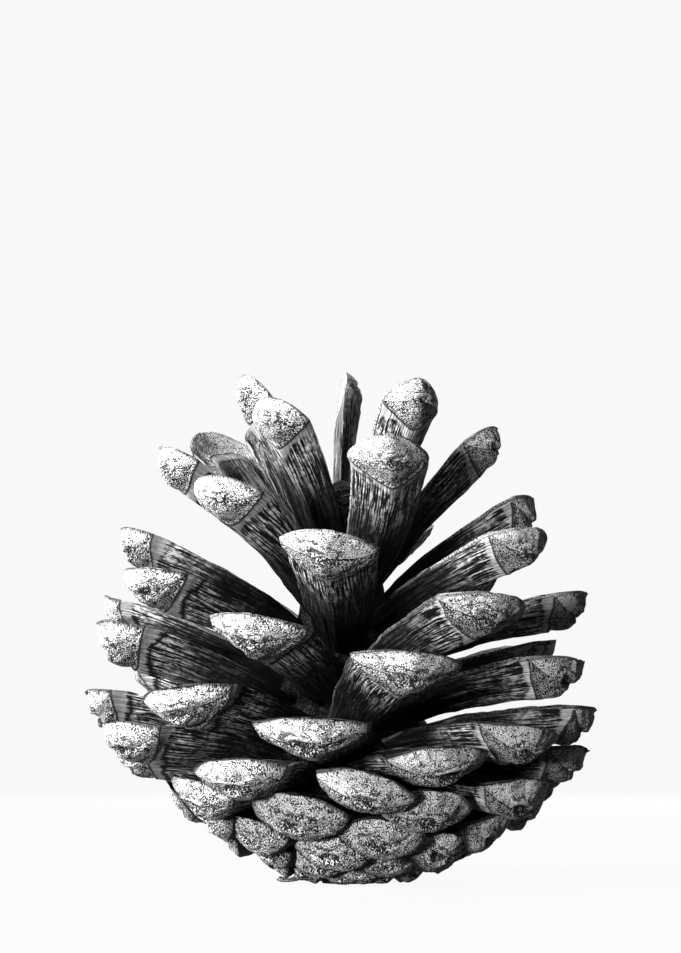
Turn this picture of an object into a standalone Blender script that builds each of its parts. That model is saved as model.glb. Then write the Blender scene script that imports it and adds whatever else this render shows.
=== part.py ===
"""An open pine cone that stands on its stem end, tip up, as one woody body.

Metres, +Z up. The origin is the centre of the stalk's broken end, where the cone rests.
The scales follow one spiral from the stalk to the tip: each is a golden angle round from the one
below it. Azimuth 0 is the front (-Y), and it grows towards +X.
"""

import math
import random
from collections import namedtuple

import bmesh
import bpy
from mathutils import Matrix, Vector

MM = 0.001

# The spiral
GOLDEN_ANGLE = math.radians(137.508)
FIRST_AZIMUTH = math.radians(21.3)
OPEN_SCALES = 100
SEED = 7

# One value for every STATION scales, from the stalk to the tip of the cone
STATION = 10
ROOT_HEIGHT = (0.0022, 0.0034, 0.0048, 0.0066, 0.0088, 0.0112, 0.0146, 0.0206, 0.0295, 0.0375, 0.0430)
TIP_HEIGHT = (0.0016, 0.0028, 0.0050, 0.0083, 0.0122, 0.0164, 0.0220, 0.0312, 0.0426, 0.0584, 0.0720)
TIP_RADIUS = (0.0065, 0.0095, 0.0140, 0.0193, 0.0246, 0.0302, 0.0342, 0.0346, 0.0325, 0.0250, 0.0155)
WIDTH = (0.0050, 0.0066, 0.0092, 0.0124, 0.0135, 0.0138, 0.0148, 0.0146, 0.0126, 0.0102, 0.0078)
END_LENGTH = (0.0018, 0.0028, 0.0042, 0.0055, 0.0062, 0.0064, 0.0066, 0.0068, 0.0066, 0.0064, 0.0060)
# How far the corners of the end hang below its upper edge, in widths
CORNER_DROP = (0.10, 0.12, 0.14, 0.14, 0.13, 0.09, 0.02, 0.00, 0.00, 0.00, 0.00)
# How thick the end is, against END_ROWS, and how far its face leans out at its foot, or in below 0
END_DEPTH = (1.25, 1.20, 1.18, 1.14, 1.10, 1.01, 0.86, 0.86, 0.92, 1.00, 1.00)
FACE_LEAN = (-0.10, -0.25, -0.35, -0.35, -0.30, -0.15, 0.00, 0.00, 0.00, 0.00, 0.00)
# How far above the keel the belly is, against the side edge: low is round, high is sharp
BELLY_RISE = (0.22, 0.22, 0.22, 0.24, 0.27, 0.32, 0.37, 0.40, 0.40, 0.40, 0.40)

# How the scales sit. The cone opened a little unevenly: those on the left stand higher and are rolled
ROOT_RADIUS = 0.0028
ROLL = math.radians(6)
LEFT_ROLL = math.radians(-14)
LEFT_ROLL_FROM = 30
LEFT_ROLL_FULL = 50
LEFT_RISE = 0.0020
LEFT_RISE_FULL = 50
AXIS_LEAN = -0.020
# How much the scales in line still differ: turn and roll in degrees, reach and width as shares
TURN_SPREAD = 2
ROLL_SPREAD = 4
REACH_SPREAD = 0.02
WIDTH_SPREAD = 0.04

# Scales that dried out of line, by their place on the spiral: turn and roll in degrees,
# then reach, rise and sideways bow in millimetres
OUT_OF_LINE = {
    26: (-4, 0, 0.0, 0.0, 0),
    31: (-9, 2, 0.0, -0.1, 0),
    34: (-2, 2, 0.0, -0.3, 0),
    39: (-1, 4, 0.0, 0.3, 0),
    42: (-9, 0, 0.0, 0.8, 0),
    44: (-2, 8, 1.0, -0.5, 0),
    47: (2, 10, 0.0, 0.4, 0),
    49: (0, 8, 1.7, 0.9, 0),
    50: (0, 0, 0.0, -0.5, 0),
    52: (-1, -2, 0.3, -1.4, 0),
    55: (-1, -8, 0.0, 0.4, 0),
    57: (0, 4, 2.2, 0.0, 0),
    58: (0, 0, -0.5, -0.4, 0),
    60: (0, -3, 0.0, -0.2, 0),
    62: (0, 0, 0.8, 0.3, 0),
    63: (2, 2, 0.0, -2.2, 0),
    65: (0, -4, 0.0, -1.5, 0),
    66: (0, 0, -0.4, -1.8, 0),
    68: (3, -1, 0.0, 1.7, 0),
    70: (0, 4, -0.8, 1.8, 0),
    71: (0, 0, -0.3, -0.5, 0),
    73: (0, 6, 0.0, 0.0, 0),
    74: (0, 0, -2.0, -0.6, 0),
    75: (0, 4, -0.2, 0.8, 0),
    76: (5, 0, -0.5, 1.5, 0),
    78: (0, 4, 0.6, 0.0, 0),
    79: (0, 0, 0.0, -0.2, 0),
    81: (-3, 2, 0.0, 1.4, 0),
    83: (0, 2, -0.9, -1.2, 0),
    84: (2, 2, 1.6, -0.5, 0),
    86: (-3, 4, 0.0, 0.0, -1),
    87: (0, 20, -0.3, 0.4, 0),
    88: (-8, 16, -3.5, 5.6, 0),
    89: (-6, -6, 0.0, 1.8, -2),
    90: (0, 0, 0.0, -7.0, 0),
    91: (0, 6, 1.8, -3.6, 0),
    92: (0, 0, -1.3, 1.5, 0),
    94: (-13, 4, 0.0, -1.8, -1),
    95: (0, 0, -9.0, -14.0, 0),
    96: (0, 0, -9.0, -22.0, 0),
    97: (-3, 0, 0.0, -1.2, 0),
    98: (0, 74, -1.5, 0.6, 0),
    99: (-4, 10, 0.3, -5.2, 0),
}

# Scales much wider or narrower than their neighbours
WIDTH_FACTOR = {49: 0.72, 94: 0.92}

# The shut scales at the tip of the cone, a few turns of the same spiral
BUD_SCALES = 5
BUD_WIDTH = 0.0050
BUD_END_LENGTH = 0.0030
BUD_TIP_RADIUS = 0.0042
BUD_SPREAD = 1.4
BUD_TIP_HEIGHT = 0.0560
BUD_SINK = 0.0030
BUD_ROOT_HEIGHT = 0.0440

# Shape of a scale. Each row across it has its distance along the scale, its half width, and the
# heights of its upper face, side edge and keel, in widths of the scale. On the pale end the distance
# is a share of the end, counted back from the tip
END_ROWS = (
    (0.00, 0.09, 0.00, -0.01, -0.05),
    (0.10, 0.22, 0.00, 0.01, -0.12),
    (0.30, 0.38, -0.01, 0.02, -0.27),
    (0.60, 0.50, -0.01, 0.04, -0.33),
    (1.00, 0.47, 0.04, 0.08, -0.29),
)
# On the strap behind it the distance is a share of the strap, counted from the root
STRAP_ROWS = (
    (0.50, 0.38, 0.10, 0.12, -0.13),
    (0.00, 0.22, 0.03, 0.00, -0.13),
)
# How far out the belly is, as a share of the half width
BELLY = 0.60
# Where the lean of the end's face starts and is full, in lengths of the end from the tip
LEAN_STARTS = 1.5
LEAN_FULL = 0.6
# The least depth of wood between the upper face and the keel
THINNEST = 0.0006

# The axis: radius and height, from the stalk's end to the tip. Low in the cone it stands for the
# roots of the crowded scales too
AXIS_PROFILE = (
    (0.0036, 0.0000),
    (0.0040, 0.0010),
    (0.0085, 0.0030),
    (0.0125, 0.0055),
    (0.0160, 0.0095),
    (0.0155, 0.0140),
    (0.0125, 0.0195),
    (0.0090, 0.0270),
    (0.0070, 0.0350),
    (0.0055, 0.0420),
    (0.0035, 0.0480),
    (0.0012, 0.0520),
)
AXIS_SIDES = 12
FLAT_ENOUGH = math.radians(2)
SHARP_FROM = math.radians(50)

WOOD_COLOUR = (0.32, 0.32, 0.32, 1.0)
WOOD_ROUGHNESS = 0.85


Scale = namedtuple("Scale", "matrix length width end drop bow depth lean belly")


def along(values, place):
    """The value at a place on the spiral, on a smooth curve through the listed ones."""
    t = min(max(place / STATION, 0.0), len(values) - 1.001)
    i = int(t)
    f = t - i
    a, b, c, d = (values[min(max(i + k, 0), len(values) - 1)] for k in (-1, 0, 1, 2))
    return b + 0.5 * f * (c - a + f * (2 * a - 5 * b + 4 * c - d + f * (3 * (b - c) + d - a)))


def outward(azimuth):
    return Vector((math.sin(azimuth), -math.cos(azimuth), 0.0))


def axis_point(height):
    return Vector((AXIS_LEAN * height, 0.0, height))


def scale_frame(place, rng):
    """Where open scale number place sits, and its size."""
    loose = 0.0 if place in OUT_OF_LINE else 1.0
    turn, roll, reach, rise, bow = OUT_OF_LINE.get(place, (0, 0, 0, 0, 0))
    turn += loose * rng.uniform(-TURN_SPREAD, TURN_SPREAD)
    roll += loose * rng.uniform(-ROLL_SPREAD, ROLL_SPREAD)
    spread = loose * rng.uniform(-REACH_SPREAD, REACH_SPREAD)
    width = along(WIDTH, place) * (1 + rng.uniform(-WIDTH_SPREAD, WIDTH_SPREAD))
    width *= WIDTH_FACTOR.get(place, 1.0)

    azimuth = FIRST_AZIMUTH + place * GOLDEN_ANGLE + math.radians(turn)
    left = -math.sin(azimuth)
    height = along(TIP_HEIGHT, place) + LEFT_RISE * left * min(1.0, place / LEFT_RISE_FULL) + rise * MM
    radius = along(TIP_RADIUS, place) * (1 + spread) + reach * MM
    tip = axis_point(height) + outward(azimuth) * radius
    root = axis_point(along(ROOT_HEIGHT, place)) + outward(azimuth) * ROOT_RADIUS
    curl = min(max((place - LEFT_ROLL_FROM) / (LEFT_ROLL_FULL - LEFT_ROLL_FROM), 0.0), 1.0)
    tilt = ROLL + LEFT_ROLL * curl * max(left, 0.0) + math.radians(roll)
    return Scale(
        frame_from(root, tip, tilt),
        (tip - root).length,
        width,
        along(END_LENGTH, place),
        along(CORNER_DROP, place),
        bow * MM,
        along(END_DEPTH, place),
        along(FACE_LEAN, place),
        along(BELLY_RISE, place),
    )


def bud_frame(number):
    """The same for a shut scale at the tip of the cone."""
    azimuth = FIRST_AZIMUTH + (OPEN_SCALES + number) * GOLDEN_ANGLE
    share = number / BUD_SCALES
    radius = BUD_TIP_RADIUS * (BUD_SPREAD - share)
    tip = axis_point(BUD_TIP_HEIGHT - BUD_SINK * (1 - share)) + outward(azimuth) * radius
    root = axis_point(BUD_ROOT_HEIGHT)
    shape = (0.0, 0.0, 1.0, 0.0, BELLY_RISE[-1])
    return Scale(frame_from(root, tip, ROLL), (tip - root).length, BUD_WIDTH, BUD_END_LENGTH, *shape)


def frame_from(root, tip, roll):
    """Local Y runs from root to tip, Z is the upper side, and roll lifts the edge on the left
    as seen from outside."""
    ahead = (tip - root).normalized()
    across = ahead.cross(Vector((0, 0, 1))).normalized()
    up = across.cross(ahead)
    across, up = across * math.cos(roll) + up * math.sin(roll), up * math.cos(roll) - across * math.sin(roll)
    matrix = Matrix((across, ahead, up)).transposed().to_4x4()
    matrix.translation = root
    return matrix


def scale_rows(scale):
    """The cross-sections of a scale from root to tip, six points each."""
    strap = scale.length - scale.end
    rows = [(share * strap, *shape) for share, *shape in reversed(STRAP_ROWS)]
    for back, half, top, edge, keel in reversed(END_ROWS):
        edge -= scale.drop * (2 * half) ** 2
        rows.append((scale.length - back * scale.end, half, top, edge, keel * scale.depth))
    for y, half, top, edge, keel in rows:
        t = y / scale.length
        shift = scale.bow * 4 * t * (1 - t)
        lean = scale.lean * end_share((scale.length - y) / scale.end)
        keel = min(keel, top - THINNEST / scale.width)
        belly = keel + scale.belly * (edge - keel)
        outline = ((1, edge), (0, top), (-1, edge), (-BELLY, belly), (0, keel), (BELLY, belly))
        yield [
            Vector((shift + x * half * scale.width, y + lean * max(-z, 0.0) * scale.width, z * scale.width))
            for x, z in outline
        ]


def end_share(back):
    """1 on the pale end and 0 on the strap, at a distance from the tip in lengths of the end."""
    t = min(max((LEAN_STARTS - back) / (LEAN_STARTS - LEAN_FULL), 0.0), 1.0)
    return t * t * (3 - 2 * t)


def loft(bm, rings):
    """Skins the rings and closes both ends."""
    loops = [[bm.verts.new(point) for point in ring] for ring in rings]
    count = len(loops[0])
    for low, high in zip(loops, loops[1:]):
        for k in range(count):
            bm.faces.new((low[k], low[(k + 1) % count], high[(k + 1) % count], high[k]))
    bm.faces.new(loops[0][::-1])
    bm.faces.new(loops[-1])


def object_from(name, bm, collection):
    bmesh.ops.recalc_face_normals(bm, faces=bm.faces)
    bmesh.ops.triangulate(bm, faces=bm.faces)
    mesh = bpy.data.meshes.new(name)
    bm.to_mesh(mesh)
    bm.free()
    obj = bpy.data.objects.new(name, mesh)
    collection.objects.link(obj)
    return obj


def build_axis():
    """The woody axis with the stub of the stalk, flat at its broken end."""
    bm = bmesh.new()
    turns = [2 * math.pi * k / AXIS_SIDES for k in range(AXIS_SIDES)]
    loft(bm, [[axis_point(z) + outward(a) * r for a in turns] for r, z in AXIS_PROFILE])
    return object_from("cone", bm, bpy.context.scene.collection)


def build_scales():
    """All scales, each its own object in one collection."""
    collection = bpy.data.collections.new("scales")
    bpy.context.scene.collection.children.link(collection)
    rng = random.Random(SEED)
    places = [scale_frame(place, rng) for place in range(OPEN_SCALES)]
    places += [bud_frame(number) for number in range(BUD_SCALES)]
    for number, scale in enumerate(places):
        rings = [[scale.matrix @ point for point in ring] for ring in scale_rows(scale)]
        sunk = min(0.0, min(point.z for ring in rings for point in ring))
        for ring in rings:
            for point in ring:
                point.z -= sunk
        bm = bmesh.new()
        loft(bm, rings)
        object_from(f"scale_{number:03d}", bm, collection)
    return collection


def fuse(obj, collection):
    """Joins the collection's objects to obj and removes them."""
    union = obj.modifiers.new("scales", "BOOLEAN")
    union.operation = "UNION"
    union.operand_type = "COLLECTION"
    union.collection = collection
    union.solver = "MANIFOLD"
    bpy.context.view_layer.objects.active = obj
    bpy.ops.object.modifier_apply(modifier=union.name)
    for part in list(collection.objects):
        bpy.data.objects.remove(part)
    bpy.data.collections.remove(collection)


def clean_skin(obj):
    """Keeps the outer skin alone, since what else the union left is the skin of a sealed hollow,
    and joins its nearly flat scraps."""
    bm = bmesh.new()
    bm.from_mesh(obj.data)
    skins = []
    left = set(bm.faces)
    while left:
        skin = {left.pop()}
        front = list(skin)
        while front:
            near = {face for edge in front.pop().edges for face in edge.link_faces}
            front += near & left
            skin |= near
            left -= near
        skins.append(skin)
    outer = max(skins, key=len)
    inner = [face for skin in skins if skin is not outer for face in skin]
    bmesh.ops.delete(bm, geom=inner, context="FACES")
    bmesh.ops.triangulate(bm, faces=bm.faces)
    bmesh.ops.dissolve_limit(bm, angle_limit=FLAT_ENOUGH, verts=bm.verts, edges=bm.edges)
    bmesh.ops.triangulate(bm, faces=bm.faces)
    bm.to_mesh(obj.data)
    bm.free()


def wood():
    material = bpy.data.materials.new("wood")
    material.use_nodes = True
    shader = material.node_tree.nodes["Principled BSDF"]
    shader.inputs["Base Color"].default_value = WOOD_COLOUR
    shader.inputs["Roughness"].default_value = WOOD_ROUGHNESS
    shader.inputs["Metallic"].default_value = 0.0
    return material


def main():
    for obj in list(bpy.data.objects):
        bpy.data.objects.remove(obj)
    cone = build_axis()
    fuse(cone, build_scales())
    clean_skin(cone)
    cone.data.shade_smooth()
    cone.data.set_sharp_from_angle(angle=SHARP_FROM)
    cone.data.materials.append(wood())


if __name__ == "__main__":
    main()
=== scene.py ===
"""Looks for an open, dry pine cone that stands on its stem end.

Metres, +Z up, and azimuth 0 at the front (-Y), growing towards +X. The scales follow the same spiral
rule as the solids that they replace, with a finer surface: thick pale ends with a cross ridge and a
small boss, striped straps, and the beds of the lost seeds on their inner faces.
"""

import itertools
import math
import random
from collections import namedtuple

import bpy
import numpy as np
from mathutils import Matrix, Vector

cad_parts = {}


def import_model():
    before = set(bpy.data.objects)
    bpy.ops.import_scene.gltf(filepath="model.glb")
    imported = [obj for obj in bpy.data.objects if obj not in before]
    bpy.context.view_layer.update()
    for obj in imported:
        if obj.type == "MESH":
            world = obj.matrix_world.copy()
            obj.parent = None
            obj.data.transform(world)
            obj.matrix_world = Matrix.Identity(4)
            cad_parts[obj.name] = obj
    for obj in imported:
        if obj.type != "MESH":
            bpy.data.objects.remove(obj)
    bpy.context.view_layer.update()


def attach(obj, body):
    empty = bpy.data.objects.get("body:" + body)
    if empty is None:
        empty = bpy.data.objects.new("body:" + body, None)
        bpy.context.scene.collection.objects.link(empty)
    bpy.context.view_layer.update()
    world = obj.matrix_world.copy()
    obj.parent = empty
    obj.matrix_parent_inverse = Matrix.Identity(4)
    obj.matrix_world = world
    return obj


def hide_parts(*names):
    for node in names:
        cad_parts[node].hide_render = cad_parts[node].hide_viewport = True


MM = 0.001

# The spiral
GOLDEN_ANGLE = math.radians(137.508)
FIRST_AZIMUTH = math.radians(21.3)
OPEN_SCALES = 100
SEED = 7

# One value for every STATION scales, from the stalk to the tip of the cone
STATION = 10
ROOT_HEIGHT = (0.0022, 0.0034, 0.0048, 0.0066, 0.0088, 0.0112, 0.0146, 0.0206, 0.0295, 0.0375, 0.0430)
TIP_HEIGHT = (0.0016, 0.0028, 0.0050, 0.0083, 0.0122, 0.0164, 0.0220, 0.0312, 0.0426, 0.0584, 0.0720)
TIP_RADIUS = (0.0065, 0.0095, 0.0140, 0.0193, 0.0246, 0.0302, 0.0342, 0.0346, 0.0325, 0.0250, 0.0155)
WIDTH = (0.0050, 0.0066, 0.0092, 0.0124, 0.0135, 0.0138, 0.0148, 0.0146, 0.0126, 0.0102, 0.0078)
END_LENGTH = (0.0018, 0.0028, 0.0042, 0.0055, 0.0062, 0.0064, 0.0066, 0.0068, 0.0066, 0.0064, 0.0060)
# How far the corners of the end hang below its upper edge, in widths
CORNER_DROP = (0.10, 0.12, 0.14, 0.14, 0.13, 0.09, 0.02, 0.00, 0.00, 0.00, 0.00)
# How thick the end is, against END_ROWS, and how far its face leans out at its foot, or in below 0
END_DEPTH = (1.25, 1.20, 1.18, 1.14, 1.10, 1.01, 0.86, 0.86, 0.92, 1.00, 1.00)
FACE_LEAN = (-0.10, -0.25, -0.35, -0.35, -0.30, -0.15, 0.00, 0.00, 0.00, 0.00, 0.00)
# How far above the keel the belly is, against the side edge: low is round, high is sharp
BELLY_RISE = (0.22, 0.22, 0.22, 0.24, 0.27, 0.32, 0.37, 0.40, 0.40, 0.40, 0.40)

ROOT_RADIUS = 0.0028
ROLL = math.radians(6)
LEFT_ROLL = math.radians(-14)
LEFT_ROLL_FROM = 30
LEFT_ROLL_FULL = 50
LEFT_RISE = 0.0020
LEFT_RISE_FULL = 50
AXIS_LEAN = -0.020
# How much the scales in line still differ: turn and roll in degrees, reach and width as shares
TURN_SPREAD = 2
ROLL_SPREAD = 4
REACH_SPREAD = 0.02
WIDTH_SPREAD = 0.04

# Scales that dried out of line, by their place on the spiral: turn and roll in degrees,
# then reach, rise and sideways bow in millimetres
OUT_OF_LINE = {
    26: (-4, 0, 0.0, 0.0, 0),
    31: (-9, 2, 0.0, -0.1, 0),
    34: (-2, 2, 0.0, -0.3, 0),
    39: (-1, 4, 0.0, 0.3, 0),
    42: (-9, 0, 0.0, 0.8, 0),
    44: (-2, 8, 1.0, -0.5, 0),
    47: (2, 10, 0.0, 0.4, 0),
    49: (0, 8, 1.7, 0.9, 0),
    50: (0, 0, 0.0, -0.5, 0),
    52: (-1, -2, 0.3, -1.4, 0),
    55: (-1, -8, 0.0, 0.4, 0),
    57: (0, 4, 2.2, 0.0, 0),
    58: (0, 0, -0.5, -0.4, 0),
    60: (0, -3, 0.0, -0.2, 0),
    62: (0, 0, 0.8, 0.3, 0),
    63: (2, 2, 0.0, -2.2, 0),
    65: (0, -4, 0.0, -1.5, 0),
    66: (0, 0, -0.4, -1.8, 0),
    68: (3, -1, 0.0, 1.7, 0),
    70: (0, 4, -0.8, 1.8, 0),
    71: (0, 0, -0.3, -0.5, 0),
    73: (0, 6, 0.0, 0.0, 0),
    74: (0, 0, -2.0, -0.6, 0),
    75: (0, 4, -0.2, 0.8, 0),
    76: (5, 0, -0.5, 1.5, 0),
    78: (0, 4, 0.6, 0.0, 0),
    79: (0, 0, 0.0, -0.2, 0),
    81: (-3, 2, 0.0, 1.4, 0),
    83: (0, 2, -0.9, -1.2, 0),
    84: (2, 2, 1.6, -0.5, 0),
    86: (-3, 4, 0.0, 0.0, -1),
    87: (0, 20, -0.3, 0.4, 0),
    88: (-8, 16, -3.5, 5.6, 0),
    89: (-6, -6, 0.0, 1.8, -2),
    90: (0, 0, 0.0, -7.0, 0),
    91: (0, 6, 1.8, -3.6, 0),
    92: (0, 0, -1.3, 1.5, 0),
    94: (-13, 4, 0.0, -1.8, -1),
    95: (0, 0, -9.0, -14.0, 0),
    96: (0, 0, -9.0, -22.0, 0),
    97: (-3, 0, 0.0, -1.2, 0),
    98: (0, 74, -1.5, 0.6, 0),
    99: (-4, 10, 0.3, -5.2, 0),
}

# Scales much wider or narrower than their neighbours
WIDTH_FACTOR = {49: 0.72, 94: 0.92}

# The shut scales at the tip of the cone
BUD_SCALES = 5
BUD_WIDTH = 0.0050
BUD_END_LENGTH = 0.0030
BUD_TIP_RADIUS = 0.0042
BUD_SPREAD = 1.4
BUD_TIP_HEIGHT = 0.0560
BUD_SINK = 0.0030
BUD_ROOT_HEIGHT = 0.0440

# Shape of a scale. Each row across it has its distance along the scale, its half width, and the
# heights of its upper face, side edge and keel, in widths of the scale. On the pale end the distance
# is a share of the end, counted back from the tip
END_ROWS = (
    (0.00, 0.09, 0.00, -0.01, -0.05),
    (0.10, 0.22, 0.00, 0.01, -0.12),
    (0.30, 0.38, -0.01, 0.02, -0.27),
    (0.60, 0.50, -0.01, 0.04, -0.33),
    (1.00, 0.47, 0.04, 0.08, -0.29),
)
# On the strap behind it the distance is a share of the strap, counted from the root
STRAP_ROWS = (
    (0.50, 0.38, 0.10, 0.12, -0.13),
    (0.00, 0.22, 0.03, 0.00, -0.13),
)
# How far out the belly is, as a share of the half width
BELLY = 0.60

# The axis: radius and height, from the stalk's end to the tip
AXIS_PROFILE = (
    (0.0036, 0.0000),
    (0.0040, 0.0010),
    (0.0085, 0.0030),
    (0.0125, 0.0055),
    (0.0160, 0.0095),
    (0.0155, 0.0140),
    (0.0125, 0.0195),
    (0.0090, 0.0270),
    (0.0070, 0.0350),
    (0.0055, 0.0420),
    (0.0035, 0.0480),
    (0.0012, 0.0520),
)

BARK_SINK = 0.0006
# Lumps of the bark: depth and size in metres, and how much they are drawn out upwards
BARK = ((0.0004, 0.0016, 0.35), (0.0002, 0.0006, 0.3))
# The broken end of the stalk: depth of the hollow at its pith, and height of its splinters
STALK_HOLLOW = 0.0009
SPLINTER = 0.0003

# Scraps of bract round the stalk: azimuth in degrees, then start, length and width in millimetres
BRACTS = (
    (-80, 5.2, 4.8, 2.0),
    (-61, 5.8, 5.4, 2.3),
    (-42, 6.2, 4.8, 1.8),
    (4, 4.4, 3.0, 2.0),
    (48, 4.2, 3.4, 1.8),
    (98, 4.4, 4.2, 2.2),
    (139, 4.0, 3.8, 1.9),
    (187, 4.4, 4.6, 2.1),
    (231, 4.2, 3.6, 2.0),
)
BRACT_HEIGHT = 0.0020
BRACT_THICK = 0.00032
# Slopes of a scrap in degrees at its start and at its end, each drawn between two values
BRACT_SLOPES = ((-50, -38), (10, 50))

# Pieces of the scene: the first place of each on the spiral
PIECES = {"basal_scales": 0, "lower_scales": 20, "middle_scales": 40, "high_scales": 60, "top_scales": 80}
# Points over and under a scale, then rows along its strap and its end: fine from this place up
FINE_FROM = 22
FINE = (26, 34, 26, 44)
COARSE = (18, 24, 14, 30)

# Edges sharper than this many degrees stay sharp
SHARP_ANGLE = 62

Scale = namedtuple("Scale", "place matrix length width end drop bow depth lean belly")


def along(values, place):
    """The value at a place on the spiral, on a smooth curve through the listed ones."""
    t = min(max(place / STATION, 0.0), len(values) - 1.001)
    i = int(t)
    f = t - i
    a, b, c, d = (values[min(max(i + k, 0), len(values) - 1)] for k in (-1, 0, 1, 2))
    return b + 0.5 * f * (c - a + f * (2 * a - 5 * b + 4 * c - d + f * (3 * (b - c) + d - a)))


def outward(azimuth):
    return Vector((math.sin(azimuth), -math.cos(azimuth), 0.0))


def axis_point(height):
    return Vector((AXIS_LEAN * height, 0.0, height))


def scale_frame(place, rng):
    """Where the open scale at this place on the spiral sits, and its size."""
    loose = 0.0 if place in OUT_OF_LINE else 1.0
    turn, roll, reach, rise, bow = OUT_OF_LINE.get(place, (0, 0, 0, 0, 0))
    turn += loose * rng.uniform(-TURN_SPREAD, TURN_SPREAD)
    roll += loose * rng.uniform(-ROLL_SPREAD, ROLL_SPREAD)
    spread = loose * rng.uniform(-REACH_SPREAD, REACH_SPREAD)
    width = along(WIDTH, place) * (1 + rng.uniform(-WIDTH_SPREAD, WIDTH_SPREAD))
    width *= WIDTH_FACTOR.get(place, 1.0)

    azimuth = FIRST_AZIMUTH + place * GOLDEN_ANGLE + math.radians(turn)
    left = -math.sin(azimuth)
    height = along(TIP_HEIGHT, place) + LEFT_RISE * left * min(1.0, place / LEFT_RISE_FULL) + rise * MM
    radius = along(TIP_RADIUS, place) * (1 + spread) + reach * MM
    tip = axis_point(height) + outward(azimuth) * radius
    root = axis_point(along(ROOT_HEIGHT, place)) + outward(azimuth) * ROOT_RADIUS
    curl = min(max((place - LEFT_ROLL_FROM) / (LEFT_ROLL_FULL - LEFT_ROLL_FROM), 0.0), 1.0)
    tilt = ROLL + LEFT_ROLL * curl * max(left, 0.0) + math.radians(roll)
    return Scale(
        place,
        frame_from(root, tip, tilt),
        (tip - root).length,
        width,
        along(END_LENGTH, place),
        along(CORNER_DROP, place),
        bow * MM,
        along(END_DEPTH, place),
        along(FACE_LEAN, place),
        along(BELLY_RISE, place),
    )


def bud_frame(number):
    """The same for a shut scale at the tip of the cone."""
    azimuth = FIRST_AZIMUTH + (OPEN_SCALES + number) * GOLDEN_ANGLE
    share = number / BUD_SCALES
    radius = BUD_TIP_RADIUS * (BUD_SPREAD - share)
    tip = axis_point(BUD_TIP_HEIGHT - BUD_SINK * (1 - share)) + outward(azimuth) * radius
    root = axis_point(BUD_ROOT_HEIGHT)
    matrix = frame_from(root, tip, ROLL)
    length = (tip - root).length
    shape = (0.0, 0.0, 1.0, 0.0, BELLY_RISE[-1])
    return Scale(OPEN_SCALES + number, matrix, length, BUD_WIDTH, BUD_END_LENGTH, *shape)


def frame_from(root, tip, roll):
    """Local Y runs from root to tip, Z is the upper side, and roll lifts the edge on the left
    as seen from outside."""
    ahead = (tip - root).normalized()
    across = ahead.cross(Vector((0, 0, 1))).normalized()
    up = across.cross(ahead)
    rolled_across = across * math.cos(roll) + up * math.sin(roll)
    rolled_up = up * math.cos(roll) - across * math.sin(roll)
    matrix = Matrix((rolled_across, ahead, rolled_up)).transposed().to_4x4()
    matrix.translation = root
    return matrix


def noise(points, size, seed=0):
    """Smooth value noise from -1 to 1, with one lump for every size."""
    place = np.asarray(points, dtype=float) / size
    cell = np.floor(place).astype(np.int64)
    f = place - cell
    f = f * f * (3 - 2 * f)
    total = np.zeros(place.shape[:-1])
    for corner in itertools.product((0, 1), repeat=3):
        weight = np.prod(np.where(np.array(corner) == 1, f, 1 - f), axis=-1)
        key = (cell + corner) @ np.array((73856093, 19349663, 83492791)) + seed * 2654435761
        key = ((key ^ (key >> 13)) * 1274126177) & 0x7FFFFFFF
        key = ((key ^ (key >> 15)) * 1103515245) & 0x7FFFFFFF
        total += weight * (key / 0x3FFFFFFF - 1)
    return total


def field(*parts):
    """Points from their coordinates, each an array or a number."""
    return np.stack(np.broadcast_arrays(*parts), -1)


def smooth_step(value, low, high):
    t = np.clip((value - low) / (high - low), 0, 1)
    return t * t * (3 - 2 * t)


def bump_at(distance, reach):
    return np.exp(-((distance / reach) ** 2))


def smooth_curve(xs, values, at):
    """Columns of values at the points at, on a curve through the given ones that doesn't overshoot."""
    xs, values = np.asarray(xs, float), np.asarray(values, float)
    step = np.diff(xs)[:, None]
    slope = np.diff(values, axis=0) / step
    before, after = slope[:-1], slope[1:]
    same = before * after > 0
    inner = np.where(same, 2 * before * after / np.where(same, before + after, 1), 0)
    tangent = np.vstack((slope[:1], inner, slope[-1:]))
    k = np.clip(np.searchsorted(xs, at) - 1, 0, len(xs) - 2)
    h = step[k]
    t = ((at - xs[k])[:, None]) / h
    return (
        values[k] * (1 + 2 * t) * (1 - t) ** 2
        + tangent[k] * h * t * (1 - t) ** 2
        + values[k + 1] * t * t * (3 - 2 * t)
        + tangent[k + 1] * h * t * t * (t - 1)
    )


# Shape of the fine surface of an end, in millimetres on a scale FULL_WIDTH wide
FULL_WIDTH = 14.0
EDGE_SHARE = 0.24
EDGE_POWER = 14
BOUNDARY_CORNER = 0.62
BOUNDARY_POWER = 1.3
STEP_HEIGHT = 0.35
STEP_GROOVE = 0.16
# Low in the cone the next scales cover more of the end: between these places, and by these shares
COVERED = (32, 46)
COVERED_MIDDLE = 0.42
COVERED_CORNER = 0.04
COVERED_RIDGE = 0.20
RIDGE_BACK = 0.30
RIDGE_CORNER = 0.62
RIDGE_HEIGHT = 0.26
RIDGE_WIDTH = 0.40
DISH = 0.32
UMBO_ACROSS = 1.9
UMBO_ALONG = 1.0
UMBO_HEIGHT = 0.45
# A groove round the boss and a point on it: height, distance from its middle, reach
UMBO_RINGS = ((-0.16, 1.15, 0.22), (0.22, 0.0, 0.25))
ARCH_BACK = 0.40
ARCH_SIDES = 0.9
ARCH_GROOVE = 0.18
SECOND_GROOVE = 0.10
BED_DEPTH = 0.25
BED_HOLLOW = 0.30
# Lumps of the whole surface: height and size, from the coarse ones to the fine
LUMPS = ((0.28, 4.0), (0.10, 1.5), (0.05, 0.7))
# Folds that fan out from the boss: height, how many to a radian, and how fast they change outwards
FOLDS = ((0.16, 3.2, 0.25), (0.10, 8.0, 0.30))
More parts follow.
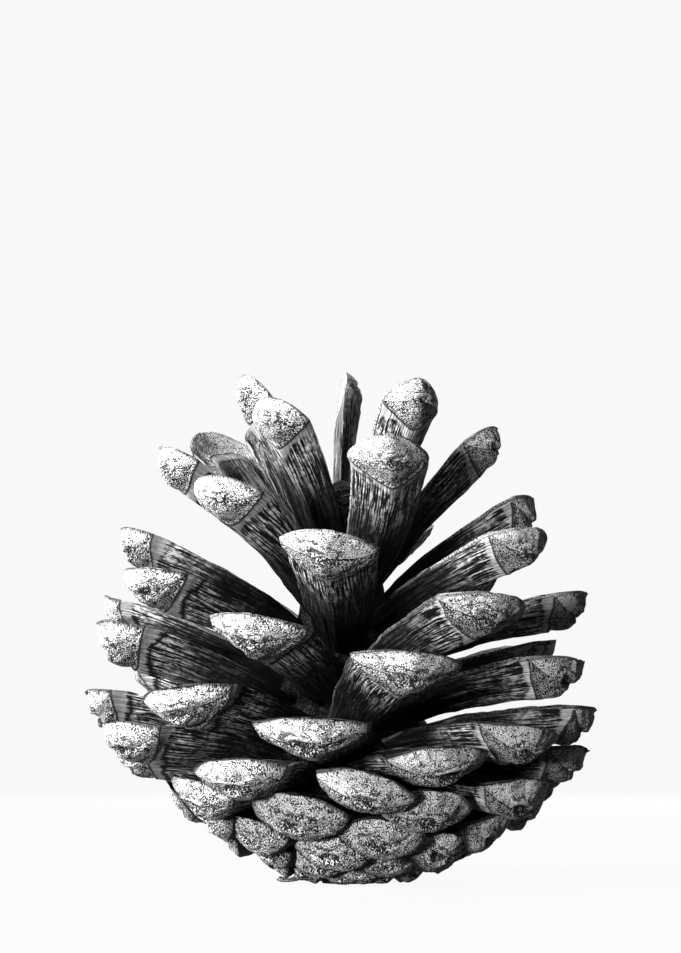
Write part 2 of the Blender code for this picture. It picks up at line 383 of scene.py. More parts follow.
# Ribs that run along the scale: how many to a millimetre across it and along it, and their heights
# on the strap and on the seed beds
RIBS = ((1.15, 0.06), (2.60, 0.10))
STRAP_RIBS = (0.14, 0.09)
BED_RIBS = (0.10, 0.06)
# How far apart the patterns of two scales lie in the noise
PATTERN_STEP = 61.0


class FineScale:
    """The fine surface of one scale, in millimetres: rows along it, with a ring of points round each."""

    def __init__(self, scale, detail):
        self.scale = scale
        self.top_count, self.low_count, self.strap_rows, self.end_rows = detail
        self.width, self.length, self.end = scale.width / MM, scale.length / MM, scale.end / MM
        self.grade = self.width / FULL_WIDTH
        self.seed = scale.place + 1
        self.lay_rows()
        self.lay_rings()
        self.measure()
        lift = self.relief()[..., None]
        self.metres = (self.points + grid_normals(self.points) * lift) * MM

    def lay_rows(self):
        """Distances along the scale, even over the curve of its end, and the section at each."""
        strap = self.length - self.end
        heights = [[share * strap, *shape] for share, *shape in reversed(STRAP_ROWS)]
        for back, half, top, edge, keel in reversed(END_ROWS):
            drop = self.scale.drop * (2 * half) ** 2
            row = [self.length - back * self.end, half, top, edge - drop, keel * self.scale.depth]
            heights.append(row)
        rows = np.array(heights)
        fine_y = np.linspace(0, self.length, 800)
        keel_line = smooth_curve(rows[:, 0], rows[:, 1:], fine_y)[:, 3] * self.width
        arc = np.concatenate(([0], np.cumsum(np.hypot(np.diff(fine_y), np.diff(keel_line)))))
        on_strap = np.linspace(0, strap, self.strap_rows, endpoint=False)
        on_end = np.linspace(np.interp(strap, fine_y, arc), arc[-1], self.end_rows)
        self.y = np.concatenate((on_strap, np.interp(on_end, arc, fine_y)))
        self.arc_back = arc[-1] - np.interp(self.y, fine_y, arc)
        self.section = (smooth_curve(rows[:, 0], rows[:, 1:], self.y) * self.width).T[:, :, None]

    def lay_rings(self):
        """The points of each row: along the upper face, then back round the keel."""
        scale, seed, y = self.scale, self.seed, self.y
        half, top, edge, keel = self.section
        upper_turn = np.linspace(0, 1, self.top_count, endpoint=False)
        self.turn = np.concatenate((upper_turn, np.linspace(1, 2, self.low_count, endpoint=False)))
        even = np.where(self.turn < 1, 1 - 2 * self.turn, 2 * self.turn - 3)
        u = (0.6 * even + 0.4 * np.cos(math.pi * self.turn))[None, :]
        upper, size = (self.turn < 1)[None, :], np.abs(u)
        power = math.log(scale.belly / (1 - EDGE_SHARE)) / math.log(BELLY)
        rise = (1 - EDGE_SHARE) * size**power + EDGE_SHARE * size**EDGE_POWER
        z = np.where(upper, top + (edge - top) * size**2, keel + (edge - keel) * rise)

        rough = noise(field(y, seed * 7.3, 0), 2.5)[:, None]
        rough_2 = noise(field(y, seed * 3.1, 1), 0.9)[:, None]
        x = u * half * (1 + 0.035 * rough * np.sign(u) + 0.018 * rough_2)
        back = (self.length - y)[:, None] + 0 * x
        t = (y / self.length)[:, None]
        bowed = x + scale.bow / MM * 4 * t * (1 - t)
        leaning = scale.lean * smooth_step(back, 1.5 * self.end, 0.6 * self.end) * np.maximum(-z, 0)
        self.points = field(bowed, self.length - back + leaning, z)
        self.u, self.upper, self.size = u, upper, size
        self.x, self.back, self.arcs = x, back, self.arc_back[:, None] + 0 * x
        self.wavy = noise(field(x, seed * 5.7, back * 0.2), 1.6)
        self.pattern = field(x, self.arcs + seed * PATTERN_STEP, z)
        self.lap = self.walk_round()

    def walk_round(self):
        """Distance round the scale from its left edge, the same along each of its lines."""
        ring = self.points[self.strap_rows - 1]
        steps = np.linalg.norm(np.roll(ring, -1, axis=0) - ring, axis=-1)
        walked = np.cumsum(steps) - steps
        upper_walk, lower_walk = walked[self.top_count], steps[self.top_count :].sum()
        share = np.where(self.turn < 1, walked / upper_walk, (steps.sum() - walked) / lower_walk)
        return share[None, :] * lower_walk

    def arc_at(self, y):
        return np.interp(y, self.y, self.arc_back)

    def measure(self):
        """Distances from the lines that the relief and the material follow."""
        end, width, grade, size = self.end, self.width, self.grade, self.size
        covered = 1 - smooth_step(self.scale.place, *COVERED)
        middle, corner = 1 - COVERED_MIDDLE * covered, BOUNDARY_CORNER - COVERED_CORNER * covered
        boundary = end * (corner + (middle - corner) * (1 - size**BOUNDARY_POWER))
        self.inside = (boundary + 0.25 * grade * self.wavy - self.back) * 0.85
        self.apophysis = np.where(self.upper, 0, smooth_step(self.inside, -0.15, 0.2))

        ridge_middle = RIDGE_BACK * (1 - COVERED_RIDGE * covered)
        ridge_back = end * (ridge_middle + (RIDGE_CORNER - RIDGE_BACK) * (1 - covered) * size**1.2)
        self.ridge_arc = self.arc_at(self.length - ridge_back)
        self.foot_arc = self.arc_at(self.length - end)
        self.middle_arc = self.arc_at(self.length - ridge_middle * end)

        rng = random.Random(self.seed * 31)
        umbo_x = rng.uniform(-0.07, 0.07) * width
        umbo_arc = self.middle_arc * rng.uniform(0.95, 1.12)
        self.umbo_dx = (self.x - umbo_x) / (UMBO_ACROSS * grade)
        self.umbo_ds = (self.arcs - umbo_arc) / (UMBO_ALONG * grade)
        self.from_umbo = np.hypot(self.umbo_dx, self.umbo_ds)
        arch_back = ARCH_BACK * width + ARCH_SIDES * width * size**4
        self.arch = self.back - arch_back + 0.3 * grade * self.wavy

    def relief(self):
        """How far each point stands out from the plain form."""
        along_ribs = self.y[:, None] + 0 * self.lap
        places = [field(self.lap * a, along_ribs * b + self.seed * 9.0, 0) for a, b in RIBS]
        ribs = [noise(place, 1.0, 5 + k) for k, place in enumerate(places)]
        lumps = sum(height * noise(self.pattern, size, k) for k, (height, size) in enumerate(LUMPS))
        faces = np.where(self.upper, self.inner_relief(ribs), self.outer_relief(ribs))
        fade = np.clip((1 - self.size) * 6 + 0.15, 0, 1) * smooth_step(self.y, 0, 3)[:, None]
        return self.grade * (lumps + faces) * fade

    def outer_relief(self, ribs):
        """Ridge, dished facets, boss and folds of the end, the step behind it and the ribbed strap."""
        arcs, ridge_arc, from_umbo = self.arcs, self.ridge_arc, self.from_umbo
        centre = 1 - self.size**2.5
        from_ridge = arcs - ridge_arc * (1 + 0.08 * self.wavy)
        ridge = RIDGE_HEIGHT * bump_at(from_ridge, RIDGE_WIDTH * self.grade)
        above = np.clip(arcs / ridge_arc, 0, 1)
        under = np.clip((arcs - ridge_arc) / (self.foot_arc - ridge_arc), 0, 1)
        dish = DISH * np.sin(math.pi * np.where(arcs < ridge_arc, above, under))
        boss = UMBO_HEIGHT * smooth_step(from_umbo, 1.0, 0.55)
        boss += sum(height * bump_at(from_umbo - at, reach) for height, at, reach in UMBO_RINGS)
        angle = np.arctan2(self.umbo_ds, self.umbo_dx)
        folds = sum(
            height * noise(field(angle * count, self.seed, twist * from_umbo), 1.0, 3 + k)
            for k, (height, count, twist) in enumerate(FOLDS)
        )
        folds *= smooth_step(from_umbo, 0.9, 2.2) * smooth_step(arcs, 0, 0.12 * self.middle_arc)
        step = STEP_HEIGHT * smooth_step(self.inside, -0.1, 0.3)
        step -= STEP_GROOVE * bump_at(self.inside + 0.15, 0.2)
        strap_ribs = STRAP_RIBS[0] * ribs[0] + STRAP_RIBS[1] * ribs[1]
        on_end = (ridge - dish + boss + folds) * centre
        return step + self.apophysis * on_end + (1 - self.apophysis) * strap_ribs

    def inner_relief(self, ribs):
        """The step down from the rim, the two seed beds and their ribs."""
        arch = self.arch
        beds = bump_at(self.size - 0.45, 0.28) * smooth_step(arch, 0, 2.5 * self.grade)
        bed_ribs = BED_RIBS[0] * ribs[0] + BED_RIBS[1] * ribs[1]
        return (
            -BED_DEPTH * smooth_step(arch, -0.1, 0.25)
            - ARCH_GROOVE * bump_at(arch, 0.22)
            - BED_HOLLOW * beds
            + bed_ribs * smooth_step(arch, 0.5, 3.0)
            - SECOND_GROOVE * bump_at(arch - 1.7 * self.grade, 0.3)
        )

    def marks(self):
        """What the material reads at each point."""
        upper, place = self.upper, self.scale.place / OPEN_SCALES
        return {
            "grain": self.pattern,
            "stripe_marks": field(self.lap, self.y[:, None] + self.seed * PATTERN_STEP, 0),
            "outer_marks": field(np.where(upper, -9, self.inside), self.from_umbo, np.where(upper, 0, 1)),
            # the last number, the share of the way back from the tip, sets painted shade deep in the cone
            "inner_marks": field(np.where(upper, self.arch, 0), self.size, self.back / self.length),
            "ridge_marks": field((self.arcs - self.ridge_arc) / self.grade, self.u, place),
        }


def grid_normals(points):
    """Unit normals of a grid whose second direction closes on itself."""
    across = np.roll(points, -1, axis=1) - np.roll(points, 1, axis=1)
    ahead = np.gradient(points, axis=0)
    normal = np.cross(across, ahead)
    return normal / np.maximum(np.linalg.norm(normal, axis=-1, keepdims=True), 1e-9)


def ring_faces(rows, ring, start):
    """Quads between each ring of points and the next."""
    r, k = np.meshgrid(np.arange(rows - 1), np.arange(ring), indexing="ij")
    ahead = (k + 1) % ring
    skin = np.stack((r * ring + k, r * ring + ahead, (r + 1) * ring + ahead, (r + 1) * ring + k), -1)
    return skin.reshape(-1, 4) + start


def end_faces(top_count, ring, first, flip):
    """Closes one end ring with triangles between its upper and its lower half."""
    low_count = ring - top_count
    faces = []
    upper = [first + k for k in range(top_count + 1)]
    lower = [first + (ring - k) % ring for k in range(low_count + 1)]
    i = j = 0
    while i < top_count or j < low_count:
        if i < top_count and (j == low_count or (i + 1) / top_count <= (j + 1) / low_count):
            corners = (upper[i], upper[i + 1], lower[j])
            i += 1
        else:
            corners = (upper[i], lower[j + 1], lower[j])
            j += 1
        if len(set(corners)) == 3:
            faces.append(corners[::-1] if flip else corners)
    return faces


def mesh_object(name, points, quads, triangles, marks):
    """One mesh object from arrays, with its marks as attributes of its points."""
    mesh = bpy.data.meshes.new(name)
    mesh.vertices.add(len(points))
    mesh.vertices.foreach_set("co", points.astype(np.float32).ravel())
    loops = np.concatenate((quads.ravel(), triangles.ravel())).astype(np.int32)
    sizes = np.concatenate((np.full(len(quads), 4), np.full(len(triangles), 3)))
    mesh.loops.add(len(loops))
    mesh.loops.foreach_set("vertex_index", loops)
    mesh.polygons.add(len(sizes))
    mesh.polygons.foreach_set("loop_start", np.concatenate(([0], np.cumsum(sizes)[:-1])).astype(np.int32))
    mesh.update(calc_edges=True)
    mesh.validate()
    for key, values in marks.items():
        attribute = mesh.attributes.new(key, "FLOAT_VECTOR", "POINT")
        attribute.data.foreach_set("vector", values.astype(np.float32).ravel())
    mesh.shade_smooth()
    mesh.set_sharp_from_angle(angle=math.radians(SHARP_ANGLE))
    obj = bpy.data.objects.new(name, mesh)
    bpy.context.scene.collection.objects.link(obj)
    return obj


def build_scales(name, scales):
    """The scales of one piece as one mesh of closed bodies."""
    all_points, quads, triangles, marks = [], [], [], {}
    start = 0
    for scale in scales:
        detail = FINE if FINE_FROM <= scale.place < OPEN_SCALES else COARSE
        fine = FineScale(scale, detail)
        rows, ring = fine.metres.shape[:2]
        turn = np.array(scale.matrix.to_3x3())
        flat = fine.metres.reshape(-1, 3) @ turn.T + np.array(scale.matrix.translation)
        flat[:, 2] -= min(0.0, flat[:, 2].min())
        all_points.append(flat)
        quads.append(ring_faces(rows, ring, start))
        triangles += end_faces(detail[0], ring, start, True)
        triangles += end_faces(detail[0], ring, start + (rows - 1) * ring, False)
        for key, values in fine.marks().items():
            marks.setdefault(key, []).append(values.reshape(-1, 3))
        start += len(flat)
    marks = {key: np.concatenate(values) for key, values in marks.items()}
    points = np.concatenate(all_points)
    return mesh_object(name, points, np.concatenate(quads), np.array(triangles), marks)


def axis_skin(sides, rows, end_rows):
    """Rings over the broken end and up the wall: points, their grain, and the mark that darkens the wall as
    painted shade inside the cone.
    """
    profile = np.array(AXIS_PROFILE)
    wall = np.linspace(0, profile[-1, 1], rows)
    wall_radius = smooth_curve(profile[:, 1], profile[:, :1], wall)[:, 0]
    wall_radius -= BARK_SINK * smooth_step(wall, 0.001, 0.004)
    share = np.linspace(0.06, 0.97, end_rows)
    radius = np.concatenate((share * wall_radius[0], wall_radius))[:, None]
    height = np.concatenate((0 * share, wall))[:, None]
    turns = np.linspace(0, 2 * math.pi, sides, endpoint=False)
    sine, cosine = np.sin(turns), -np.cos(turns)
    flat = field(radius * sine, radius * cosine, height)
    on_end = np.concatenate((np.ones(end_rows), np.zeros(rows)))[:, None]
    wall_height = smooth_step(height, 0.0002, 0.0012)
    bark = sum(deep * noise(flat * (1, 1, drawn), size, k) for k, (deep, size, drawn) in enumerate(BARK))
    splinters = 0.5 + 0.5 * noise(flat, 0.0005, 2)
    hollow = STALK_HOLLOW * smooth_step(radius, 0.0012, 0.0005)
    hollow = hollow + SPLINTER * splinters * smooth_step(radius, 0.0035, 0.0026)
    points = flat.copy()
    points[..., 0] += sine * bark * wall_height
    points[..., 1] += cosine * bark * wall_height
    points[..., 2] += on_end * hollow
    points[..., 0] += AXIS_LEAN * points[..., 2]
    rings = np.stack(np.broadcast_arrays(radius / MM, turns[None] * 0.4, on_end * 3), -1)
    grain = np.where(on_end[..., None] > 0, rings, points / MM).reshape(-1, 3)
    return points, grain, np.broadcast_to(1 - 0.7 * on_end, flat.shape[:2]).ravel()


def build_axis():
    """The woody axis with the stub of the stalk, flat at the rim of its broken end."""
    sides, rows, end_rows = 96, 140, 14
    points, grain, far = axis_skin(sides, rows, end_rows)
    closed = ((0, 0, points[0, 0, 2]), axis_point(AXIS_PROFILE[-1][1]))
    points = np.concatenate((points.reshape(-1, 3), closed))
    count = rows + end_rows
    quads = ring_faces(count, sides, 0)[:, ::-1]
    low, high, last = count * sides, count * sides + 1, (count - 1) * sides
    triangles = [(k, (k + 1) % sides, low) for k in range(sides)]
    triangles += [(last + (k + 1) % sides, last + k, high) for k in range(sides)]
    extra = np.zeros((2, 3))
    far = np.concatenate((far, (0.3, 1.0)))
    marks = {
        "grain": np.concatenate((grain, extra)),
        "stripe_marks": np.concatenate((grain, extra)),
        "outer_marks": np.tile((-7.0, 9.0, 1.0), (len(points), 1)),
        "inner_marks": field(0, 0.5, far),
        "ridge_marks": np.tile((-9.0, 0.0, 1.0), (len(points), 1)),
    }
    return mesh_object("axis_and_stalk", points, quads, np.array(triangles), marks)


def bract_skin(number, slopes, half_ring, rows):
    """One curled scrap: its points, and their grain."""
    azimuth, start, length, width = BRACTS[number]
    a = math.radians(azimuth)
    turn = np.radians(np.linspace(*slopes, rows))
    step = length * MM / rows
    away = start * MM + np.cumsum(np.cos(turn)) * step
    height = BRACT_HEIGHT + np.cumsum(np.sin(turn)) * step
    taper = np.sin(math.pi * np.linspace(0.30, 0.93, rows)) ** 0.6
    ring = np.linspace(0, 2 * math.pi, 2 * half_ring, endpoint=False)
    across = np.cos(ring)[None] * (taper * width * MM / 2)[:, None]
    thick = np.sin(ring)[None] * BRACT_THICK / 2 + 0.25 * across**2 / (width * MM)
    thick = thick + 0.00012 * noise(field(across / MM, np.arange(rows)[:, None] / 3, number), 1.0)
    radius = away[:, None] - np.sin(turn)[:, None] * thick
    x = radius * math.sin(a) + across * math.cos(a)
    y = -radius * math.cos(a) + across * math.sin(a)
    points = field(x, y, height[:, None] + np.cos(turn)[:, None] * thick).reshape(-1, 3)
    points[:, 2] -= min(0.0, points[:, 2].min())
    along_bract = np.linspace(0, length, rows)[:, None] + number * 17.0
    return points, field(across / MM, along_bract, thick / MM).reshape(-1, 3)


def build_bracts():
    """Thin curled scraps of bract that still hang under the lowest scales."""
    rng = random.Random(SEED)
    half_ring, rows = 7, 14
    ring = 2 * half_ring
    all_points, quads, triangles, grain = [], [], [], []
    for number in range(len(BRACTS)):
        slopes = [rng.uniform(*between) for between in BRACT_SLOPES]
        points, own_grain = bract_skin(number, slopes, half_ring, rows)
        first = number * len(points)
        quads.append(ring_faces(rows, ring, first))
        triangles += end_faces(half_ring, ring, first, True)
        triangles += end_faces(half_ring, ring, first + (rows - 1) * ring, False)
        all_points.append(points)
        grain.append(own_grain)
    points = np.concatenate(all_points)
    marks = {
        "grain": np.concatenate(grain),
        "stripe_marks": np.concatenate(grain),
        "outer_marks": np.tile((-4.0, 9.0, 1.0), (len(points), 1)),
        "inner_marks": np.tile((0.0, 0.5, 0.2), (len(points), 1)),
        "ridge_marks": np.tile((-9.0, 0.0, 1.0), (len(points), 1)),
    }
    return mesh_object("bract_scraps", points, np.concatenate(quads), np.array(triangles), marks)


class Graph:
    """A few short calls that add nodes to a material."""

    def __init__(self, name):
        self.material = bpy.data.materials.new(name)
        self.material.use_nodes = True
        self.tree = self.material.node_tree
        self.shader = self.tree.nodes["Principled BSDF"]

    def add(self, kind, inputs=None, **settings):
        made = self.tree.nodes.new(kind)
        for key, value in settings.items():
            setattr(made, key, value)
        for key, value in (inputs or {}).items():
            self.put(made.inputs[key], value)
        return made

    def put(self, socket, value):
        if isinstance(value, bpy.types.NodeSocket):
            self.tree.links.new(value, socket)
        else:
            socket.default_value = value

    def marks(self, name):
        """The three numbers of an attribute, and its vector."""
        vector = self.add("ShaderNodeAttribute", attribute_name=name).outputs["Vector"]
        return (*self.add("ShaderNodeSeparateXYZ", {0: vector}).outputs, vector)

    def math(self, operation, a, b=0.0, clamp=False):
        return self.add("ShaderNodeMath", {0: a, 1: b}, operation=operation, use_clamp=clamp).outputs[0]

    def times(self, first, *factors):
        for factor in factors:
            first = self.math("MULTIPLY", first, factor)
        return first

    def plus(self, first, *terms):
        for term in terms:
            first = self.math("ADD", first, term)
        return first

    def minus(self, value, other):
        return self.math("SUBTRACT", value, other)

    def range(self, value, low, high, to_low=0.0, to_high=1.0):
        numbers = {0: value, 1: low, 2: high, 3: to_low, 4: to_high}
        return self.add("ShaderNodeMapRange", numbers, interpolation_type="SMOOTHSTEP").outputs[0]

    def scaled(self, vector, scale):
        return self.add("ShaderNodeVectorMath", {0: vector, 1: scale}, operation="MULTIPLY").outputs[0]

    def noise(self, vector, scale, detail=2.0, roughness=0.5):
        inputs = {"Vector": vector, "Scale": scale, "Detail": detail, "Roughness": roughness}
        return self.add("ShaderNodeTexNoise", inputs).outputs[0]

    def spots(self, vector, scale):
        """Distance from the nearest of many scattered points, in spacings of theirs."""
        inputs = {"Vector": vector, "Scale": scale}
        return self.add("ShaderNodeTexVoronoi", inputs, voronoi_dimensions="2D").outputs["Distance"]

    def mix(self, factor, a, b):
        """From tone a to tone b; each is a number or a socket."""
        numbers = {0: factor, 2: a, 3: b}
        return self.add("ShaderNodeMix", numbers, data_type="FLOAT").outputs[0]

    def line(self, distance, width):
        """1 on the line where distance is 0, and 0 beyond width."""
        return self.range(self.math("ABSOLUTE", distance), 0.0, width, 1.0, 0.0)


# What the wood's colour follows: the marks of a point, and two patterns of patches
Wood = namedtuple("Wood", "grain stripe_way inside from_umbo outer arch far below across place blotch patch")

# Tones from 0 for black to 1 for white
# black, also used for painted shade under the ends' steps and in the gaps low in the cone
GAP_TONE = 0.006
STRAP_TONE = 0.008
# black of the painted shade just below the ridge of each end
RIDGE_SHADE_TONE = 0.01
DOT_TONE = 0.015
LINE_TONE = 0.02
ARCH_TONE = 0.012
PALE_TONE = 0.76
# lighter pale tone of the ends low in the cone: painted light
PALE_TONE_LOW_PAINTED_LIGHT = 0.92
PALE_TONE_BRIGHT = 0.94


def read_wood(g):
    grain = g.marks("grain")[3]
    inside, from_umbo, outer, _ = g.marks("outer_marks")
    arch, _, far, _ = g.marks("inner_marks")
    below, across, place, _ = g.marks("ridge_marks")
    patterns = g.noise(grain, 0.35, 2.0), g.noise(grain, 1.1, 3.0)
    stripe_way = g.marks("stripe_marks")[3]
    return Wood(grain, stripe_way, inside, from_umbo, outer, arch, far, below, across, place, *patterns)


def end_dots(g, wood, under):
    """Black stipple of the ends: denser in patches and on the boss, and below the ridge as painted shade of
    the lower facet.
    """
    fine = g.noise(wood.grain, 7.5, 2.0, 0.6)
    dots = g.plus(g.spots(g.scaled(wood.grain, (1.0, 1.35, 1.0)), 4.4), g.times(fine, 0.55))
    reach = g.plus(
        g.range(wood.patch, 0.35, 0.65, 0.50, 0.73),
        g.range(wood.from_umbo, 0.4, 1.6, 0.08, 0.0),
        g.times(under, 0.12),
        g.range(wood.place, 0.75, 0.90, 0.0, -0.06),
        g.range(wood.place, 0.25, 0.45, 0.06, 0.0),
        g.range(wood.across, -0.9, 0.9, 0.03, -0.03),
    )
    return g.range(g.minus(reach, dots), -0.04, 0.05)


def end_folds(g, wood):
    """Broken dark folds round the boss."""
    turned = g.plus(g.times(wood.from_umbo, 6.5), g.times(g.noise(wood.grain, 1.5, 2.0), 8.0))
    fold = g.range(g.math("SINE", turned), 0.45, 0.90)
    return g.times(fold, g.range(wood.from_umbo, 1.4, 2.8, 0.85, 0.0), g.range(wood.patch, 0.32, 0.48))


def pale_end(g, wood):
    """Tone of the end, and its dots: white above the ridge, darker below it as painted shade of the lower
    facet, with dark lines.
    """
    under = g.times(g.range(wood.below, 0.05, 0.2), g.range(wood.place, 0.30, 0.50, 0.20, 1.0))
    dot = end_dots(g, wood, under)
    # low in the cone the ends are painted lighter, as painted light
    plain = g.range(wood.place, 0.25, 0.45, PALE_TONE_LOW_PAINTED_LIGHT, PALE_TONE)
    pale = g.mix(g.range(wood.blotch, 0.3, 0.7), plain, PALE_TONE_BRIGHT)
    # painted shade darkens the lower facet below the ridge; above it the low ends get painted light
    pale = g.times(pale, g.mix(under, g.range(wood.place, 0.25, 0.45, 1.06, 1.0), 0.62))
    tone = g.mix(dot, pale, DOT_TONE)
    # a broken dark line just below the ridge: painted shade of the ridge
    ridge_shade = g.line(g.minus(wood.below, 0.12), 0.16)
    ridge_shade = g.times(ridge_shade, g.range(wood.blotch, 0.36, 0.50), g.range(wood.place, 0.30, 0.50, 0.4, 1.0))
    tone = g.mix(ridge_shade, tone, RIDGE_SHADE_TONE)
    edge = g.range(g.math("ABSOLUTE", wood.across), 0.94, 0.99, 0.0, 0.85)
    tone = g.mix(edge, tone, LINE_TONE)
    return g.mix(end_folds(g, wood), tone, LINE_TONE), dot


def strap_stripes(g, wood):
    """Fine stripes that run along the strap, a little broken."""
    stripes = g.noise(g.scaled(wood.stripe_way, (1.0, 0.05, 1.0)), 4.0, 2.0, 0.5)
    breaks = g.noise(g.scaled(wood.stripe_way, (1.0, 0.35, 1.0)), 5.0, 1.0, 0.5)
    return g.plus(g.times(stripes, 0.82), g.times(breaks, 0.18))


def strap(g, wood, stripe):
    """Tone of the strap: black with pale stripes, a grey band behind the end and a dark arc."""
    # the stripes fade towards the root: painted shade deep between the scales
    painted_shade_fade = g.range(wood.inside, -10.0, -1.5, 0.06, 0.66)
    tone = g.mix(stripe, STRAP_TONE, g.times(painted_shade_fade, g.range(wood.patch, 0.38, 0.58, 0.30, 1.0)))

    # the band is narrowest half way to each edge, less so on the left as seen from outside
    half_way = g.minus(g.math("ABSOLUTE", wood.across), 0.5)
    bent = g.times(g.times(half_way, half_way), 5.0, g.range(wood.across, -0.1, 0.2, 1.0, 0.35))
    behind = g.plus(wood.inside, bent, g.range(wood.blotch, 0.3, 0.7, 0.7, 1.4))
    band_light = g.range(wood.across, -0.1, 0.3, 0.42, 0.55)
    band_tone = g.mix(wood.patch, g.mix(stripe, 0.16, band_light), band_light)
    tone = g.mix(g.times(g.range(behind, 0.0, 0.4), 0.9), tone, band_tone)

    arc = g.times(
        g.line(g.plus(behind, 0.35), 0.62),
        g.range(wood.blotch, 0.28, 0.44),
        g.range(wood.across, -0.1, 0.2, 1.0, 0.3),
        g.range(wood.place, 0.78, 0.88, 1.0, 0.35),
    )
    tone = g.mix(arc, tone, GAP_TONE)
    # the strap darkens towards its root, and the axis wall darkens: painted shade deep in the cone
    return g.times(tone, g.range(wood.far, 0.3, 0.8, 1.0, 0.10))


def inner_face(g, wood, dot, stripe):
    """Tone of the inner face: a rim, a dark arch, a grey crescent, a second arch and the striped bed."""
    # the rims of the lower scales are painted near black: painted shade under the scales above
    rim = g.times(g.mix(dot, 0.60, 0.05), g.range(wood.place, 0.60, 0.85, 0.06, 1.0))
    # the bed darkens towards the root: painted shade deep in the cone
    bed = g.times(g.mix(stripe, 0.02, 0.30), g.range(wood.far, 0.3, 0.85, 1.0, 0.12))
    crescent = g.mix(g.range(wood.patch, 0.3, 0.7), 0.20, 0.36)
    tone = g.mix(g.range(wood.arch, 1.4, 2.0), crescent, bed)
    tone = g.mix(g.range(wood.arch, -0.1, 0.1), rim, tone)
    tone = g.mix(g.line(g.minus(wood.arch, 0.15), 0.32), tone, ARCH_TONE)
    return g.mix(g.times(g.line(g.minus(wood.arch, 1.8), 0.3), 0.8), tone, LINE_TONE)


def wood_material():
    g = Graph("pine_cone_wood")
    wood = read_wood(g)
    end_tone, dot = pale_end(g, wood)
    shown = strap_stripes(g, wood)
    stripe = g.range(shown, 0.47, 0.57)
    apophysis = g.range(wood.inside, -0.06, 0.06)
    outer_tone = g.mix(apophysis, strap(g, wood, stripe), end_tone)
    # a black line along the foot of each end: painted shade under its step
    outer_tone = g.mix(g.line(g.plus(wood.inside, 0.13), 0.26), outer_tone, GAP_TONE)

    # low in the cone the foot of each end is painted dark into the gap behind the next one: painted shade of
    # that gap
    low = g.range(wood.place, 0.34, 0.50, 1.0, 0.0)
    outer_tone = g.mix(g.times(low, g.range(wood.inside, -0.3, 0.8, 1.0, 0.0)), outer_tone, GAP_TONE)
    tone = g.mix(wood.outer, inner_face(g, wood, dot, stripe), outer_tone)
    colour = g.add("ShaderNodeCombineColor", {0: tone, 1: tone, 2: tone}).outputs[0]
    g.put(g.shader.inputs["Base Color"], colour)
    g.shader.inputs["Roughness"].default_value = 0.78
    g.shader.inputs["Specular IOR Level"].default_value = 0.05

    pits = g.noise(wood.grain, 3.2, 3.0, 0.7)
    relief = g.mix(apophysis, shown, g.minus(pits, g.times(dot, 0.2)))
    bump = g.add("ShaderNodeBump", {"Height": relief, "Strength": 1.0, "Distance": 0.00045})
    g.put(g.shader.inputs["Normal"], bump.outputs[0])
    return g.material


# The stage: radius of the flat floor, then of its bend, and height of the wall, in metres
FLOOR_FLAT = 1.6
FLOOR_BEND = 0.5
WALL_TOP = 3.0
FLOOR_SIDES = 64
BEND_STEPS = 12
FLOOR_TONE = 0.015
FLOOR_GLOW = 0.94
SKY_LIGHT = 0.02
WHITE = (1.0, 1.0, 1.0, 1.0)
LIT_POINT = (0, 0, 0.032)
# Azimuth and elevation in degrees, distance and width in metres, and watts
LIGHTS = {
    "key": (-64, 26, 0.6, 0.16, 10.5),
    "front": (-30, 0, 0.8, 0.16, 10.8),
    "back": (170, 24, 0.8, 0.40, 8.0),
}


def floor_material():
    material = bpy.data.materials.new("pale_floor")
    material.use_nodes = True
    shader = material.node_tree.nodes["Principled BSDF"]
    shader.inputs["Base Color"].default_value = (FLOOR_TONE, FLOOR_TONE, FLOOR_TONE, 1.0)
    shader.inputs["Roughness"].default_value = 0.9
    shader.inputs["Specular IOR Level"].default_value = 0.0
    shader.inputs["Emission Color"].default_value = WHITE
    shader.inputs["Emission Strength"].default_value = FLOOR_GLOW
    return material


# The photograph's frame, in pixels: its size, where the stalk's centre and the resting plane are,
# and how many of them 1 mm takes at the axis
FRAME_PX = (681, 953)
STALK_PX = 349
PLANE_PX = 883
PX_PER_MM = 7.39
CAMERA_DISTANCE = 0.42
CAMERA_HEIGHT = 0.018
SENSOR = 36.0


def add_camera():
    """A level camera in front of the cone."""
    data = bpy.data.cameras.new("camera")
    camera = bpy.data.objects.new("camera", data)
    bpy.context.scene.collection.objects.link(camera)
    bpy.context.scene.camera = camera
    x = (FRAME_PX[0] / 2 - STALK_PX) / PX_PER_MM * MM
    camera.location = (x, -CAMERA_DISTANCE, CAMERA_HEIGHT)
    camera.rotation_euler = (math.radians(90), 0, 0)
    data.sensor_width = SENSOR
    data.lens = SENSOR * PX_PER_MM * CAMERA_DISTANCE / MM / FRAME_PX[1]
    horizon = PLANE_PX - CAMERA_HEIGHT / MM * PX_PER_MM
    data.shift_y = (horizon - FRAME_PX[1] / 2) / FRAME_PX[1]
    data.clip_start = 0.01


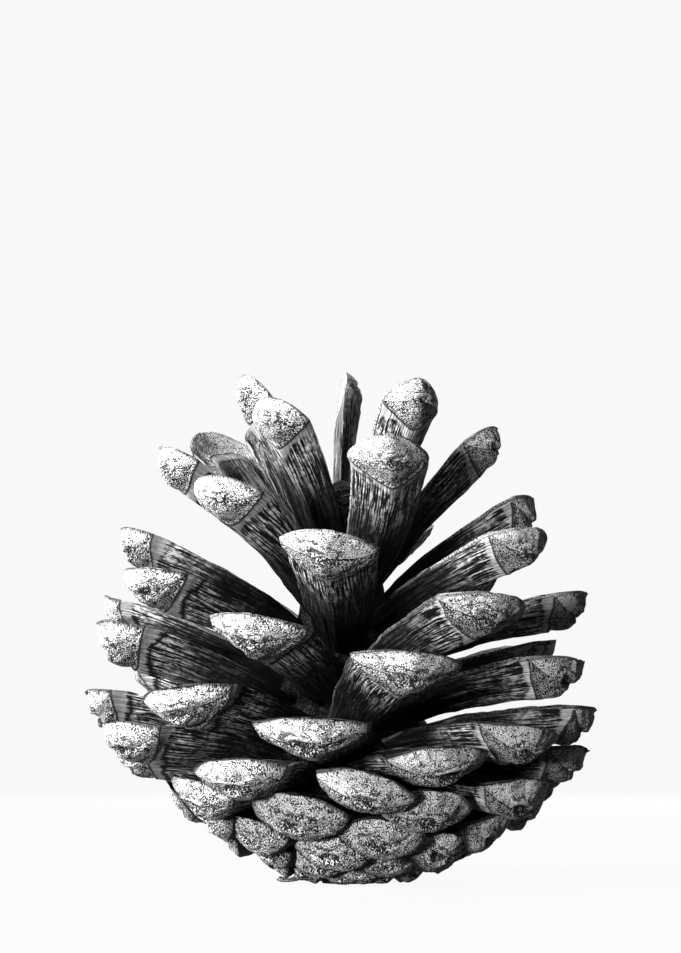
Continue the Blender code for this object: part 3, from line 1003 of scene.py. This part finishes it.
def add_light(name, azimuth, elevation, distance, width, power):
    """A round soft light that points at the middle of the cone."""
    data = bpy.data.lights.new(name, "AREA")
    data.shape = "DISK"
    data.size = width
    data.energy = power
    light = bpy.data.objects.new(name, data)
    a, e = math.radians(azimuth), math.radians(elevation)
    away = Vector((math.sin(a) * math.cos(e), -math.cos(a) * math.cos(e), math.sin(e)))
    light.location = Vector(LIT_POINT) + away * distance
    light.rotation_mode = "QUATERNION"
    light.rotation_quaternion = away.to_track_quat("Z", "Y")
    bpy.context.scene.collection.objects.link(light)


def add_floor():
    """A pale round floor that curves up into a wall."""
    curve = [(FLOOR_FLAT, 0.0)]
    for k in range(1, BEND_STEPS + 1):
        turn = math.radians(90 * k / BEND_STEPS)
        curve.append((FLOOR_FLAT + FLOOR_BEND * math.sin(turn), FLOOR_BEND * (1 - math.cos(turn))))
    curve.append((FLOOR_FLAT + FLOOR_BEND, WALL_TOP))
    turns = np.linspace(0, 2 * math.pi, FLOOR_SIDES, endpoint=False)
    rings = [field(r * np.sin(turns), r * np.cos(turns), z) for r, z in curve]
    points = np.concatenate((*rings, [(0.0, 0.0, 0.0)]))
    faces = ring_faces(len(curve), FLOOR_SIDES, 0).tolist()
    faces += [((k + 1) % FLOOR_SIDES, k, len(points) - 1) for k in range(FLOOR_SIDES)]
    mesh = bpy.data.meshes.new("floor")
    mesh.from_pydata(points.tolist(), [], faces)
    mesh.shade_smooth()
    mesh.materials.append(floor_material())
    floor = bpy.data.objects.new("floor", mesh)
    bpy.context.scene.collection.objects.link(floor)
    floor.visible_diffuse = False


def add_lighting():
    world = bpy.data.worlds.new("studio")
    bpy.context.scene.world = world
    world.use_nodes = True
    background = world.node_tree.nodes["Background"]
    background.inputs["Color"].default_value = WHITE
    background.inputs["Strength"].default_value = SKY_LIGHT
    for name, values in LIGHTS.items():
        add_light(name, *values)
    bpy.context.scene.view_settings.view_transform = "Standard"


def main():
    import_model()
    rng = random.Random(SEED)
    scales = [scale_frame(place, rng) for place in range(OPEN_SCALES)]
    starts = list(PIECES.values()) + [OPEN_SCALES]
    wood = wood_material()
    made = [build_axis(), build_bracts()]
    for name, first, last in zip(PIECES, starts, starts[1:]):
        made.append(build_scales(name, scales[first:last]))
    made.append(build_scales("tip_bud", [bud_frame(number) for number in range(BUD_SCALES)]))
    for piece in made:
        piece.data.materials.append(wood)
        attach(piece, "root")
        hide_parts("cone")
    add_floor()
    add_lighting()
    add_camera()


main()
